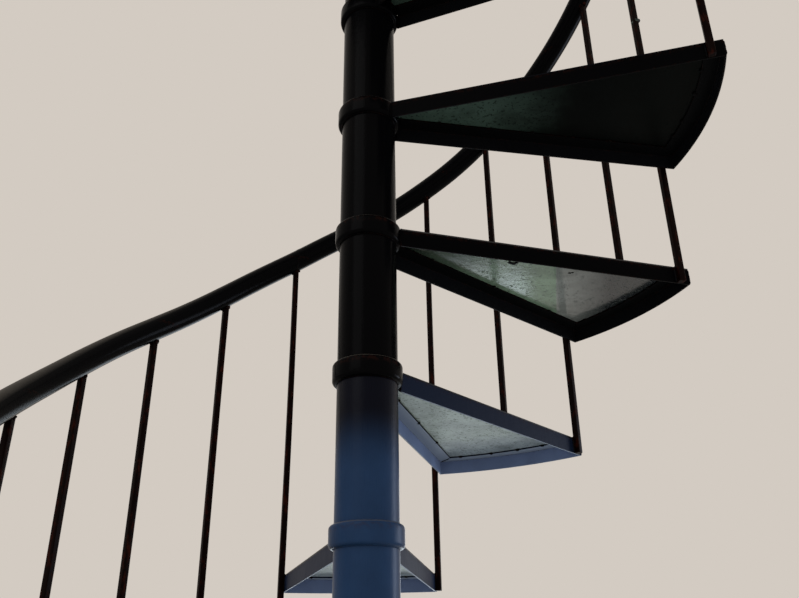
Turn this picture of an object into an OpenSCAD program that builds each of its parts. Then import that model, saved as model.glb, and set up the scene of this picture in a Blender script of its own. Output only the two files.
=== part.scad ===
// Steel spiral staircase: welded sector treads round a pipe pole, with square
// bar balusters and a round helical handrail, ending in a landing.
// Millimetres, +Z up. The origin is on the pole's axis, at floor level.
// Seen from above the stair climbs clockwise, and the landing's exit edge lies along -X.

/* [Stair] */
// Height from one tread's top to the next
rise = 245; // [200:1:260]
// Turn from one tread to the next, in degrees
tread_turn = 32; // [28:0.5:34]
// Radius of the treads' outer edge
stair_r = 610; // [560:5:750]

/* [Centre pole] */
// Outside diameter of the pole's pipe
pole_d = 95; // [85:0.1:105]
// Wall of the pole's pipe
pole_wall = 5.5; // [4:0.1:9]
// Height of the pole above the landing
pole_above = 900; // [500:10:1200]
// Width of the pole's cap
cap_d = 102; // [100:1:130]
// Thickness of the cap at its rim
cap_rim = 6; // [4:0.5:12]
// Height of the cap's dome above its rim
cap_dome = 8; // [4:0.5:14]
// Depth of the cap's plug inside the pole
cap_plug = 25; // [10:1:50]

/* [Base] */
// Side of the square base plate
base_w = 250; // [230:5:350]
// Thickness of the base plate
base_t = 12; // [8:0.5:20]
// Distance between the anchor holes
base_hole_pitch = 190; // [170:5:210]
// Diameter of the anchor holes
base_hole_d = 18; // [10:0.5:24]
// Radius of the base plate's corners
base_corner_r = 12; // [4:1:20]
// Height of the base gussets
base_gusset_h = 90; // [50:5:150]
// Reach of the base gussets from the pole
base_gusset_w = 62; // [40:1:70]
// Thickness of the base gussets
base_gusset_t = 8; // [5:0.5:12]
// Size of the corner cut off each gusset at its thin ends
base_gusset_nose = 12; // [5:1:20]

/* [Treads] */
// Thickness of the tread plates
plate_t = 2.5; // [2:0.5:6]
// Leg of the angle iron under each tread plate
angle_leg = 30; // [25:1:45]
// Thickness of the angle iron
angle_t = 3; // [2.5:0.5:5]
// How far a tread's side passes its slot's edge line beside the pole's axis
hub_flare = 25; // [10:1:28]
// Outside diameter of the sleeve at each tread's hub
sleeve_d = 110; // [108:0.5:125]
// Height of the sleeve above the tread's top
sleeve_above = 6; // [3:1:30]
// Rounding of the sleeve's welded ends
sleeve_round = 6; // [2:0.5:8]

/* [Landing] */
// Angle that the landing covers, in degrees
landing_turn = 96; // [80:1:110]
// Height of the plate that fixes the landing to the floor's edge
fixing_h = 140; // [130:5:200]
// Thickness of the fixing plate
fixing_t = 8; // [5:0.5:15]
// Distance between the fixing holes along the plate
fixing_pitch_x = 380; // [300:5:420]
// Distance between the fixing holes up the plate
fixing_pitch_z = 60; // [40:5:80]
// Diameter of the fixing holes
fixing_hole_d = 14; // [9:0.5:20]

/* [Railing] */
// Width of the square bar of the balusters
bar_w = 12; // [10:0.1:20]
// Distance of the balusters' centres from the treads' outer edge
bar_inset = 22; // [14:1:29]
// Outside diameter of the handrail's pipe
rail_d = 48.3; // [38:0.1:60]
// Height of the handrail's centre above the middle of each tread
rail_height = 840; // [750:5:1000]
// Width of the square bar of the two end posts
post_w = 25; // [20:1:40]
// Length of the handrail past the start post
rail_overhang = 40; // [20:5:80]
// Distance from the landing's exit edge to the end post
end_post_margin = 18; // [10:1:60]
// Side of the start post's foot plate
foot_w = 90; // [70:5:120]
// Thickness of the start post's foot plate
foot_t = 6; // [4:0.5:12]
// Diameter of the foot plate's two anchor holes
foot_hole_d = 11; // [6:0.5:14]
// Distance between the foot plate's two anchor holes
foot_hole_pitch = 60; // [50:1:64]

/* [Fit] */
// Gap between pieces that are seated on each other and welded
seat = 0.3; // [0.2:0.05:0.5]
// Gap between a baluster's sloping top and the handrail's underside
rail_seat = 0.6; // [0.5:0.05:0.8]

/* [Hidden] */

// Count of treads below the landing
tread_count = 12;
// Direction of the landing's exit edge, counter-clockwise from +X
exit_angle = 180;
// Bays of framing under the landing, with a rib between each two
landing_bays = 3;
// Tread whose middle baluster is missing
missing_bar_tread = 10;
// Flat sides round the handrail, with a flat one at the bottom
rail_sides = 16;
// Turn between two rings of the handrail's surface, in degrees
rail_ring_turn = 4;
// Heights by which the hand-bent handrail leaves a true helix, by treads climbed.
// It bends half way between two balusters, and is straight over each of them
rail_lifts = [
    [3.75, 0], [4.25, 2], [4.75, 1], [5.25, 2], [5.75, 15], [6.25, 13],
    [6.75, -9], [7.25, -22], [7.75, -20], [8.25, -15], [8.75, -8], [9.25, 0]
];
// Facets of the arcs and round pieces
round_fn = 96;
hole_fn = 48;
// Depth by which a cut runs past the faces it opens
cut = 1;
// Flat ring left at each end of a sleeve, next to the pole
sleeve_lip = 1;

pole_r = pole_d / 2;
sleeve_r = sleeve_d / 2;
hub_r = sleeve_r + seat;
rail_r = rail_d / 2;
bar_r = stair_r - bar_inset;
tread_depth = plate_t + angle_leg;
// Half of the gap between neighbouring treads, which a baluster fills
side_gap = bar_w / 2 + seat;
// Angle between a tread's centreline and its sides, which pass the pole's axis at hub_out
side_taper = atan((hub_flare + side_gap) / (bar_r - bar_w / 2));
side_angle = tread_turn / 2 - side_taper;
hub_out = hub_flare * cos(side_taper);
start_angle = exit_angle + tread_count * tread_turn + landing_turn;
landing_top = (tread_count + 1) * rise;
pole_top = landing_top + pole_above;
// Distance of the start post's centre in front of the first tread's slot
start_post_offset = post_w / 2 + seat - side_gap;
// Distance of the end post's centre from the landing's exit edge
end_post_offset = side_gap + end_post_margin + post_w / 2;

// Turn that a length of arc takes at the balusters' radius
function arc_turn(length) = length * 180 / (PI * bar_r);

// Direction of a point that lies climbed degrees up from the first tread's front
function climb_angle(climbed) = start_angle - climbed;

// Where the treads end and the landing begins, in degrees climbed
flight_turn = tread_count * tread_turn;
rail_start = -arc_turn(start_post_offset + post_w / 2 + rail_overhang);
rail_end = flight_turn + landing_turn - arc_turn(side_gap);

// Part of the easing from the flight's slope to level, from 0 to 1
function eased(climbed) = min(max((climbed - flight_turn) / tread_turn, 0), 1);

function rail_lift(climbed) = lookup(climbed / tread_turn, rail_lifts);

// Height of the handrail's centre
function rail_z(climbed) =
    rail_height + rise / 2 + rise * min(climbed, flight_turn) / tread_turn
    + rise * (eased(climbed) - pow(eased(climbed), 2) / 2)
    + rail_lift(climbed);

// Rise of the handrail's lift for one tread's turn, taken from a little on both sides
function rail_lift_rise(climbed) =
    let (near = tread_turn / 16)
    (rail_lift(climbed + near) - rail_lift(climbed - near)) * tread_turn / (2 * near);

// Slope of the handrail, in degrees
function rail_slope(climbed) =
    atan(
        (rise * (1 - eased(climbed)) + rail_lift_rise(climbed))
        * 180 / (tread_turn * PI * bar_r)
    );

// Height of the handrail's underside
function rail_under(climbed) =
    rail_z(climbed) - rail_r * cos(180 / rail_sides) / cos(rail_slope(climbed));

// Stands its child on the stair's outer circle, with +X outward and +Y back down the stair
module on_climb(climbed) {
    rotate([0, 0, climb_angle(climbed)]) children();
}

// Wedge about +X between two radii. Its straight sides stand at an angle to +X,
// and pass the axis at a distance: outside it where that is positive, short of it where negative
module wedge(angle, out, r_in, r_out, height) {
    apex = -out / sin(angle);
    reach = 2 * r_out;
    difference() {
        intersection() {
            cylinder(h = height, r = r_out, $fn = round_fn);
            translate([0, -reach, 0]) cube([reach, 2 * reach, height]);
            linear_extrude(height)
                polygon([
                    [apex, 0],
                    [apex + reach * cos(angle), -reach * sin(angle)],
                    [apex + reach * cos(angle), reach * sin(angle)]
                ]);
        }
        translate([0, 0, -cut])
            cylinder(h = height + 2 * cut, r = r_in, $fn = round_fn);
    }
}

// Space inside angle iron: below the flange, and through between the flanges
module frame_space(angle, out) {
    translate([0, 0, -cut])
        wedge(angle, out - angle_t, hub_r - cut, stair_r - angle_t, angle_leg - angle_t + cut);
    translate([0, 0, -cut])
        wedge(angle, out - angle_leg, hub_r - cut, stair_r - angle_leg, angle_leg + 2 * cut);
}

module tread_frame(number) {
    color("#20262f")
        translate([0, 0, number * rise - tread_depth])
            on_climb((number - 0.5) * tread_turn)
                difference() {
                    wedge(side_angle, hub_out, hub_r, stair_r, angle_leg);
                    frame_space(side_angle, hub_out);
                }
}

module tread_plate(number) {
    color("#6f8078")
        translate([0, 0, number * rise - plate_t])
            on_climb((number - 0.5) * tread_turn)
                wedge(side_angle, hub_out, hub_r, stair_r, plate_t);
}

// Angle iron round the landing, with a rib on each line between two bays
module landing_frame() {
    bay_turn = landing_turn / landing_bays;
    color("#20262f")
        translate([0, 0, landing_top - tread_depth])
            on_climb(flight_turn + landing_turn / 2)
                difference() {
                    wedge(landing_turn / 2, -side_gap, hub_r, stair_r, angle_leg);
                    for (bay = [0 : landing_bays - 1])
                        rotate([0, 0, (bay - (landing_bays - 1) / 2) * bay_turn])
                            frame_space(bay_turn / 2, -side_gap);
                }
}

module landing_plate() {
    color("#6f8078")
        translate([0, 0, landing_top - plate_t])
            on_climb(flight_turn + landing_turn / 2)
                wedge(landing_turn / 2, -side_gap, hub_r, stair_r, plate_t);
}

// Upright plate along the exit edge, bolted to the edge of the upper floor
module landing_fixing() {
    length = fixing_pitch_x + 2 * fixing_pitch_z;
    inner = (hub_r + stair_r - length) / 2;
    // The bolts go through the part that hangs below the angle iron
    bolts_z = (fixing_h - angle_leg) / 2;
    color("#20262f")
        translate([0, 0, landing_top - plate_t - fixing_h])
            on_climb(flight_turn + landing_turn)
                difference() {
                    translate([inner, side_gap - fixing_t - seat, 0])
                        cube([length, fixing_t, fixing_h]);
                    for (x = [-1, 1], z = [-1, 1])
                        translate([
                            inner + length / 2 + x * fixing_pitch_x / 2,
                            side_gap + cut,
                            bolts_z + z * fixing_pitch_z / 2
                        ])
                            rotate([90, 0, 0])
                                cylinder(h = fixing_t + 2 * cut + seat, d = fixing_hole_d, $fn = hole_fn);
                }
}

// Ring round the pole at a tread's hub, its outer edges rounded off
module sleeve() {
    height = tread_depth + sleeve_above;
    bore_r = pole_r + seat;
    edge = min(sleeve_round, sleeve_r - bore_r - sleeve_lip);
    rotate_extrude($fn = round_fn)
        intersection() {
            translate([bore_r, 0]) square([sleeve_r - bore_r, height]);
            union() {
                square([sleeve_r - edge, height]);
                translate([0, edge]) square([sleeve_r, height - 2 * edge]);
                for (z = [edge, height - edge])
                    translate([sleeve_r - edge, z]) circle(r = edge, $fn = round_fn);
            }
        }
}

module hub_sleeves() {
    color("#20262f")
        for (number = [1 : tread_count + 1])
            translate([0, 0, number * rise - tread_depth]) sleeve();
}

module centre_pole() {
    height = pole_top - base_t;
    color("#20262f")
        translate([0, 0, base_t])
            difference() {
                cylinder(h = height, r = pole_r, $fn = round_fn);
                translate([0, 0, -cut])
                    cylinder(h = height + 2 * cut, r = pole_r - pole_wall, $fn = round_fn);
            }
}

module pole_cap() {
    plug_r = pole_r - pole_wall - seat;
    dome_r = (pow(cap_d / 2, 2) + pow(cap_dome, 2)) / (2 * cap_dome);
    color("#20262f")
        translate([0, 0, pole_top]) {
            cylinder(h = cap_rim, d = cap_d, $fn = round_fn);
            translate([0, 0, -cap_plug]) cylinder(h = cap_plug + cut, r = plug_r, $fn = round_fn);
            translate([0, 0, cap_rim])
                rotate_extrude($fn = round_fn)
                    intersection() {
                        translate([0, cap_dome - dome_r]) circle(r = dome_r, $fn = 4 * round_fn);
                        square([cap_d / 2, cap_dome]);
                    }
        }
}

module base_plate() {
    inner = base_w / 2 - base_corner_r;
    color("#20262f")
        difference() {
            union() {
                translate([-base_w / 2, -inner, 0]) cube([base_w, 2 * inner, base_t]);
                translate([-inner, -base_w / 2, 0]) cube([2 * inner, base_w, base_t]);
                for (x = [-1, 1], y = [-1, 1])
                    translate([x * inner, y * inner, 0])
                        cylinder(h = base_t, r = base_corner_r, $fn = hole_fn);
            }
            for (x = [-1, 1], y = [-1, 1])
                translate([x * base_hole_pitch / 2, y * base_hole_pitch / 2, -cut])
                    cylinder(h = base_t + 2 * cut, d = base_hole_d, $fn = hole_fn);
        }
}

module base_gussets() {
    color("#20262f")
        for (side = [0 : 3])
            rotate([0, 0, side * 90])
                translate([pole_r + seat, base_gusset_t / 2, base_t])
                    rotate([90, 0, 0])
                        linear_extrude(base_gusset_t)
                            polygon([
                                [0, 0],
                                [base_gusset_w, 0],
                                [base_gusset_w, base_gusset_nose],
                                [base_gusset_nose, base_gusset_h],
                                [0, base_gusset_h]
                            ]);
}

// Square bar from a height up to the handrail's underside, cut to the rail's slope
module railing_bar(climbed, width, bottom, back) {
    top = rail_under(climbed) - rail_seat;
    slope = rail_slope(climbed);
    reach = 2 * width;
    on_climb(climbed)
        difference() {
            translate([bar_r - width / 2, back - width / 2, bottom])
                cube([width, width, top + reach - bottom]);
            translate([bar_r, 0, top])
                rotate([-slope, 0, 0])
                    translate([-reach, -3 * reach, 0]) cube([2 * reach, 6 * reach, 4 * reach]);
        }
}

// Baluster that stands on the plate, at the middle of a tread
module middle_bar(number) {
    railing_bar((number - 0.5) * tread_turn, bar_w, number * rise, 0);
}

// Baluster between a tread and the next one up, from the lower tread's underside
module joint_bar(number) {
    railing_bar(number * tread_turn, bar_w, number * rise - tread_depth, 0);
}

module balusters(first, last) {
    color("#2c2421")
        for (number = [first : last]) {
            if (number != missing_bar_tread) middle_bar(number);
            joint_bar(number);
        }
}

module landing_balusters() {
    color("#2c2421")
        for (step = [0.5 : 0.5 : landing_bays - 0.5])
            railing_bar(flight_turn + step * landing_turn / landing_bays, bar_w, landing_top, 0);
}

module start_post() {
    color("#2c2421") {
        railing_bar(0, post_w, 0, start_post_offset);
        on_climb(0)
            translate([bar_r, start_post_offset, 0])
                difference() {
                    translate([-foot_w / 2, -foot_w / 2, 0]) cube([foot_w, foot_w, foot_t]);
                    for (x = [-1, 1])
                        translate([x * foot_hole_pitch / 2, 0, -cut])
                            cylinder(h = foot_t + 2 * cut, d = foot_hole_d, $fn = hole_fn);
                }
    }
}

module end_post() {
    color("#2c2421")
        railing_bar(flight_turn + landing_turn, post_w, landing_top, end_post_offset);
}

// Length of round handrail between two places on the climb, as rings joined by triangles
module handrail(from, to) {
    steps = ceil((to - from) / rail_ring_turn);
    points = [
        for (ring = [0 : steps], side = [0 : rail_sides - 1])
            let (
                climbed = from + (to - from) * ring / steps,
                around = (side + 0.5) * 360 / rail_sides,
                r = bar_r + rail_r * sin(around),
                angle = climb_angle(climbed)
            )
            [
                r * cos(angle),
                r * sin(angle),
                rail_z(climbed) - rail_r * cos(around) / cos(rail_slope(climbed))
            ]
    ];
    walls = [
        for (ring = [0 : steps - 1], side = [0 : rail_sides - 1], half = [0, 1])
            let (
                a = ring * rail_sides + side,
                b = ring * rail_sides + (side + 1) % rail_sides,
                c = a + rail_sides,
                d = b + rail_sides
            )
            half == 0 ? [a, d, b] : [a, c, d]
    ];
    first_end = [for (side = [0 : rail_sides - 1]) side];
    last_end = [for (side = [rail_sides - 1 : -1 : 0]) steps * rail_sides + side];
    color("#20262f")
        polyhedron(points = points, faces = concat([first_end], walls, [last_end]));
}

base_plate();
base_gussets();
centre_pole();
pole_cap();
hub_sleeves();
tread_frame(1);  // tread_frame_01
tread_frame(2);  // tread_frame_02
tread_frame(3);  // tread_frame_03
tread_frame(4);  // tread_frame_04
tread_frame(5);  // tread_frame_05
tread_frame(6);  // tread_frame_06
tread_frame(7);  // tread_frame_07
tread_frame(8);  // tread_frame_08
tread_frame(9);  // tread_frame_09
tread_frame(10);  // tread_frame_10
tread_frame(11);  // tread_frame_11
tread_frame(12);  // tread_frame_12
tread_plate(1);  // tread_plate_01
tread_plate(2);  // tread_plate_02
tread_plate(3);  // tread_plate_03
tread_plate(4);  // tread_plate_04
tread_plate(5);  // tread_plate_05
tread_plate(6);  // tread_plate_06
tread_plate(7);  // tread_plate_07
tread_plate(8);  // tread_plate_08
tread_plate(9);  // tread_plate_09
tread_plate(10);  // tread_plate_10
tread_plate(11);  // tread_plate_11
tread_plate(12);  // tread_plate_12
landing_frame();
landing_plate();
landing_fixing();
start_post();
end_post();
balusters(1, 3);  // balusters_01_to_03
balusters(4, 6);  // balusters_04_to_06
balusters(7, 9);  // balusters_07_to_09
balusters(10, 12);  // balusters_10_to_12
landing_balusters();
handrail(rail_start, 3 * tread_turn);  // handrail_01_to_03
handrail(3 * tread_turn, 6 * tread_turn);  // handrail_04_to_06
handrail(6 * tread_turn, 9 * tread_turn);  // handrail_07_to_09
handrail(9 * tread_turn, flight_turn);  // handrail_10_to_12
handrail(flight_turn, rail_end);  // landing_handrail
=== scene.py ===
"""Welded steel spiral staircase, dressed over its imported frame.

The frame's own solids carry the angle iron, the plates and the base. The pole, its sleeves,
the bars, the posts and the handrail are finer pieces that stand for their solids, and the
welds and the fixings are added to them. Lengths in the classes are millimetres, and the
meshes are in metres with +Z up and the pole on the Z axis.
"""

import logging
import math
import random
from dataclasses import dataclass, field
from enum import Enum
from functools import partial
from typing import Callable, Sequence

import bmesh
import bpy
from mathutils import Matrix, Vector, noise


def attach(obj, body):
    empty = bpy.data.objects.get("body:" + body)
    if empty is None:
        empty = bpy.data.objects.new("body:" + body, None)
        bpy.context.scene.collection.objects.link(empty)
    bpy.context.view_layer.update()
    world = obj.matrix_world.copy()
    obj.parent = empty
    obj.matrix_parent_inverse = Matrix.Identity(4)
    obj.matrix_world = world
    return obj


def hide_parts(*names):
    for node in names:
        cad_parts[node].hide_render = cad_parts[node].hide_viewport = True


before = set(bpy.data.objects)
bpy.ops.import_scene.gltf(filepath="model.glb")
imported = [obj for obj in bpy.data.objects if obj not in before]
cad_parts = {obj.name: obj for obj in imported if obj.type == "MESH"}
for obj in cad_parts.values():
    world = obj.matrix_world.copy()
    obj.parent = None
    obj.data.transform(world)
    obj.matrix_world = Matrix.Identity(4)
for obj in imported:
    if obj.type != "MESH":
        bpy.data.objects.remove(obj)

LOG = logging.getLogger("staircase")
MM = 0.001
Socket = bpy.types.NodeSocket
AddNode = Callable[..., Socket]
Pair = tuple[float, float]
Triple = tuple[float, float, float]
CORNERS = ((1, 1), (-1, 1), (-1, -1), (1, -1))
MODES = {
    "Math": "operation", "VectorMath": "operation", "Mix": "data_type", "MapRange": "interpolation_type",
}


class Slot(Enum):
    """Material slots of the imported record."""

    FRAME = "frame_paint"
    BAR = "bar_paint"


class Finish(Enum):
    """Names of the finishes that the pieces wear."""

    BLACK = "black_gloss_enamel_on_steel"
    # The navy finishes hold painted window glare, and the angle iron's finishes painted glare, reflection
    # and a painted shadow line.
    NAVY = "faded_navy_enamel_on_steel"
    FRAME = "weathered_black_enamel_on_angle_iron"
    LOW_FRAME = "weathered_navy_enamel_on_angle_iron"
    BAR = "worn_enamel_over_red_oxide"
    WELD = "painted_weld_metal"
    ZINC = "zinc_plated_steel"
    FLOOR = "pale_plaster"


def linear(colour: str) -> tuple[float, ...]:
    """Linear red, green, blue and alpha of an sRGB colour that is given as "#rrggbb"."""
    parts = (int(colour[i : i + 2], 16) / 255 for i in (1, 3, 5))
    return (*(c / 12.92 if c <= 0.04045 else ((c + 0.055) / 1.055) ** 2.4 for c in parts), 1.0)


def add_node(
    tree: bpy.types.NodeTree, kind: str, *feeds: object, out: str = "", **named: object
) -> Socket | None:
    """Adds one node to a tree, sets it and links it.

    Args:
        tree: The node tree that the node goes into.
        kind: The node's type without ShaderNode, and after a space the mode that MODES lists.
        feeds: A constant, a hex colour or a node's output for each input in use, in order.
        out: Name of the output that is wanted, where that isn't the first in use.
        named: What feeds an input that is given by its name, such as Base_Color.

    Returns:
        The wanted output, if the node has one.
    """
    kind, _, mode = kind.partition(" ")
    node = tree.nodes.new(f"ShaderNode{kind}")
    if mode:
        setattr(node, MODES[kind], mode)
    fed = list(zip((socket for socket in node.inputs if socket.enabled), feeds))
    fed += [(node.inputs[name.replace("_", " ")], value) for name, value in named.items()]
    for socket, value in fed:
        if isinstance(value, Socket):
            tree.links.new(value, socket)
        else:
            socket.default_value = linear(value) if isinstance(value, str) else value
    return next((end for end in node.outputs if end.enabled and out in ("", end.name)), None)


def per_metre(size_mm: float) -> float:
    """Texture scale at which a pattern's features are size_mm across."""
    return 1000.0 / size_mm


def round_turns(count: int, shift: float = 0.0) -> list[float]:
    """Even turns round a full circle, in radians."""
    return [2 * math.pi * (i + shift) / count for i in range(count)]


def polar(radius: float, turn: float, height: float = 0.0) -> Vector:
    """The point at a radius and a turn about the upright axis."""
    return Vector((radius * math.cos(turn), radius * math.sin(turn), height))


@dataclass(frozen=True)
class StairLayout:
    """Sizes and curves that all the pieces share, in millimetres and degrees climbed."""

    rise: float = 245.0
    turn: float = 32.0
    treads: int = 12
    stair_r: float = 610.0
    landing_turn: float = 96.0
    exit_angle: float = 180.0
    bar_r: float = 588.0
    bar_w: float = 12.0
    post_w: float = 25.0
    depth: float = 32.5
    plate_t: float = 2.5
    pole_r: float = 47.5
    sleeve_r: float = 55.0
    hub_r: float = 55.3
    seat: float = 0.3
    side_gap: float = 6.3
    side_slope: float = 0.22943
    rail_height: float = 840.0
    rail_r: float = 24.15
    rail_flat: float = 23.69
    rail_lifts: tuple[Pair, ...] = (
        (3.25, 0.0), (3.75, -10.0), (4.25, -10.0), (4.75, 1.0), (5.25, 2.0), (5.75, 15.0), (6.25, 13.0),
        (6.75, -9.0), (7.25, -22.0), (7.75, -20.0), (8.25, -15.0), (8.75, -8.0), (9.25, 0.0),
    )

    @property
    def flight_turn(self) -> float:
        """Degrees climbed where the treads end."""
        return self.treads * self.turn

    @property
    def last(self) -> float:
        """Degrees climbed at the landing's far side."""
        return self.flight_turn + self.landing_turn

    @property
    def landing_top(self) -> float:
        """Height of the landing's upper face."""
        return (self.treads + 1) * self.rise

    @property
    def start_back(self) -> float:
        """Distance of the start post's centre down the stair from its line."""
        return self.post_w / 2 + self.seat - self.side_gap

    def spot(self, climbed: float, out: float, back: float, height: float) -> Vector:
        """Places a point that is given from a line of the climb.

        Args:
            climbed: Degrees climbed from the first tread's front.
            out: Distance from the axis along that line.
            back: Distance square to that line, down the stair.
            height: Height above the floor.

        Returns:
            The point in metres.
        """
        angle = math.radians(self.exit_angle + self.last - climbed)
        along, across = polar(1, angle), Vector((-math.sin(angle), math.cos(angle), 0))
        return (along * out + across * back + Vector((0, 0, height))) * MM

    def path(self, climbed: float, *places: Triple) -> list[Vector]:
        """Points in metres, each given as out, back and height from one line of the climb."""
        return [self.spot(climbed, *place) for place in places]

    def upright(self, climbed: float, out: float, back: float, *heights: float) -> list[Vector]:
        """Points in metres that stand above one another."""
        return [self.spot(climbed, out, back, height) for height in heights]

    def arc_turn(self, length: float) -> float:
        """Turn that a length of arc takes at the bars' radius."""
        return math.degrees(length / self.bar_r)

    def eased(self, climbed: float) -> float:
        """Part of the easing from the flight's slope to level, from 0 to 1."""
        return min(max((climbed - self.flight_turn) / self.turn, 0.0), 1.0)

    def bend_lift(self, climbed: float) -> float:
        """Lift of the handrail from a true helix, were its bends sharp.

        Args:
            climbed: Degrees climbed, where 0 is the first tread's front.

        Returns:
            The height in millimetres, from the lifts that are given by treads climbed.
        """
        steps = climbed / self.turn
        for (low, start), (high, end) in zip(self.rail_lifts, self.rail_lifts[1:]):
            if low <= steps <= high:
                return start + (end - start) * (steps - low) / (high - low)
        return 0.0

    def rail_lift(self, climbed: float) -> float:
        """Lift of the handrail, with the bends between the bars softened."""
        return sum(self.bend_lift(climbed + turn) for turn in (-4, -2, 0, 2, 4)) / 5

    def rail_z(self, climbed: float) -> float:
        """Height of the handrail's centre.

        Args:
            climbed: Degrees climbed, where 0 is the first tread's front.

        Returns:
            The height in millimetres above the floor.
        """
        ease, flight = self.eased(climbed), min(climbed, self.flight_turn) / self.turn
        steps = flight + ease - ease * ease / 2
        return self.rail_height + self.rise * (0.5 + steps) + self.rail_lift(climbed)

    def rail_rise(self, climbed: float) -> float:
        """Rise of the handrail per millimetre of arc."""
        bent = (self.rail_lift(climbed + 2) - self.rail_lift(climbed - 2)) / math.radians(4)
        return ((1 - self.eased(climbed)) * self.rise / math.radians(self.turn) + bent) / self.bar_r

    def rail_under(self, climbed: float) -> float:
        """Height of the handrail's underside."""
        return self.rail_z(climbed) - self.rail_flat * math.hypot(1, self.rail_rise(climbed))


@dataclass
class Shell:
    """Points and faces of one piece, gathered before its mesh is made."""

    points: list[Vector] = field(default_factory=list)
    faces: list[tuple[int, ...]] = field(default_factory=list)

    def loft(self, rings: Sequence[Sequence[Vector]], around: bool = False) -> None:
        """Joins rings of points by quads.

        Args:
            rings: Closed rings with the same count of points.
            around: Joins the last ring to the first, instead of closing both ends.
        """
        first, count = len(self.points), len(rings[0])
        for ring in rings:
            self.points.extend(ring)
        for i in range(len(rings) if around else len(rings) - 1):
            a, b = first + i * count, first + (i + 1) % len(rings) * count
            for j in range(count):
                k = (j + 1) % count
                self.faces.append((a + j, a + k, b + k, b + j))
        if not around:
            end = first + (len(rings) - 1) * count
            self.faces += [tuple(range(first, first + count)), tuple(range(end, end + count))]

    def turned(self, profile: Sequence[Pair], sides: int, unevenness: float) -> None:
        """Turns a closed outline round the pole's axis.

        Args:
            profile: Radius and height of the outline's points.
            sides: Count of facets round the axis.
            unevenness: Most that a point's radius departs from true.
        """
        rings = []
        for turn in round_turns(sides):
            bumps = [unevenness * noise.noise(polar(2, turn, z / 70)) for _, z in profile]
            rings.append([polar((r + bump) * MM, turn, z * MM) for (r, z), bump in zip(profile, bumps)])
        self.loft(rings, around=True)

    def bead(self, path: Sequence[Vector], radius: float, pitch: float = 4.0, closed: bool = False) -> None:
        """Lays a rippled weld bead along a path.

        Args:
            path: The bead's centre line, in metres.
            radius: Half of the bead's width.
            pitch: Length of one ripple.
            closed: Joins the bead's end to its start.
        """
        step, line = pitch / 3 * MM, list(path) + ([path[0]] if closed else [])
        spots, travel, ahead = [line[0]], 0.0, step
        for a, b in zip(line, line[1:]):
            length = (b - a).length
            while length > 0 and ahead <= travel + length:
                spots.append(a.lerp(b, (ahead - travel) / length))
                ahead += step
            travel += length
        if closed and (spots[-1] - spots[0]).length < step / 2:
            spots.pop()
        rings, total = [], len(spots)
        for i, here in enumerate(spots):
            before = spots[i - 1] if i or closed else here
            after = spots[(i + 1) % total] if i + 1 < total or closed else here
            along = (after - before).normalized()
            side = along.cross(Vector((0, 0, 1)) if abs(along.z) < 0.9 else Vector((1, 0, 0))).normalized()
            up = side.cross(along)
            # A ripple swells over its three rings, and the bead's width wanders by a fifth.
            size = radius * (0.84 + 0.2 * (i % 3) / 3 + 0.22 * noise.noise(here * 160))
            if not closed:
                size *= min(1.0, 0.45 + 0.35 * min(i, total - 1 - i))
            size *= MM
            rings.append([here + (side * math.cos(t) + up * math.sin(t)) * size for t in round_turns(8)])
        self.loft(rings, around=closed)

    def lump(self, centre: Vector, radii: Sequence[float], roughness: float) -> None:
        """Adds an uneven lump of weld metal.

        Args:
            centre: The lump's centre, in metres.
            radii: Its half sizes in millimetres.
            roughness: How far its surface departs from an ellipsoid.
        """
        rings = []
        for tilt in (math.pi * j / 9 for j in range(1, 9)):
            ring = []
            for ray in (polar(math.sin(tilt), turn, math.cos(tilt)) for turn in round_turns(14)):
                bulge = 1 + roughness * noise.noise(ray * 1.7 + centre * 90)
                ring.append(centre + Vector(r * c for r, c in zip(radii, ray)) * bulge * MM)
            rings.append(ring)
        self.loft(rings)

    def piece(
        self, name: str, finish: bpy.types.Material, slot: Slot | None = None, *stands_for: str
    ) -> bpy.types.Object:
        """Makes the gathered shell into a piece of the stair.

        Args:
            name: The piece's name.
            finish: Its material.
            slot: The record's material slot, where one fits; not used.
            stands_for: Nodes of the frame that it replaces.

        Returns:
            The new object, riding on the stair.
        """
        mesh = bpy.data.meshes.new(name)
        mesh.from_pydata([tuple(p) for p in self.points], [], self.faces)
        work = bmesh.new()
        work.from_mesh(mesh)
        bmesh.ops.recalc_face_normals(work, faces=work.faces)
        work.to_mesh(mesh)
        work.free()
        mesh.polygons.foreach_set("use_smooth", [True] * len(mesh.polygons))
        mesh.set_sharp_from_angle(angle=math.radians(35.0))
        mesh.materials.append(finish)
        thing = bpy.data.objects.new(name, mesh)
        bpy.context.scene.collection.objects.link(thing)
        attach(thing, "root")
        if stands_for:
            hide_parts(*stands_for)
        LOG.info("%s: %d faces", name, len(mesh.polygons))
        return thing


@dataclass(frozen=True)
class Coating:
    """One finish, which fills a new material with its nodes."""

    name: str

    def surface(self, add: AddNode) -> Socket:
        """Gives the shader that the finish's own class builds."""
        raise NotImplementedError

    def material(self) -> bpy.types.Material:
        """Makes the material that the pieces wear.

        Returns:
            The new material.
        """
        made = bpy.data.materials.new(self.name)
        made.use_nodes = True
        made.node_tree.nodes.clear()
        add = partial(add_node, made.node_tree)
        add("OutputMaterial", self.surface(add))
        return made


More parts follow.
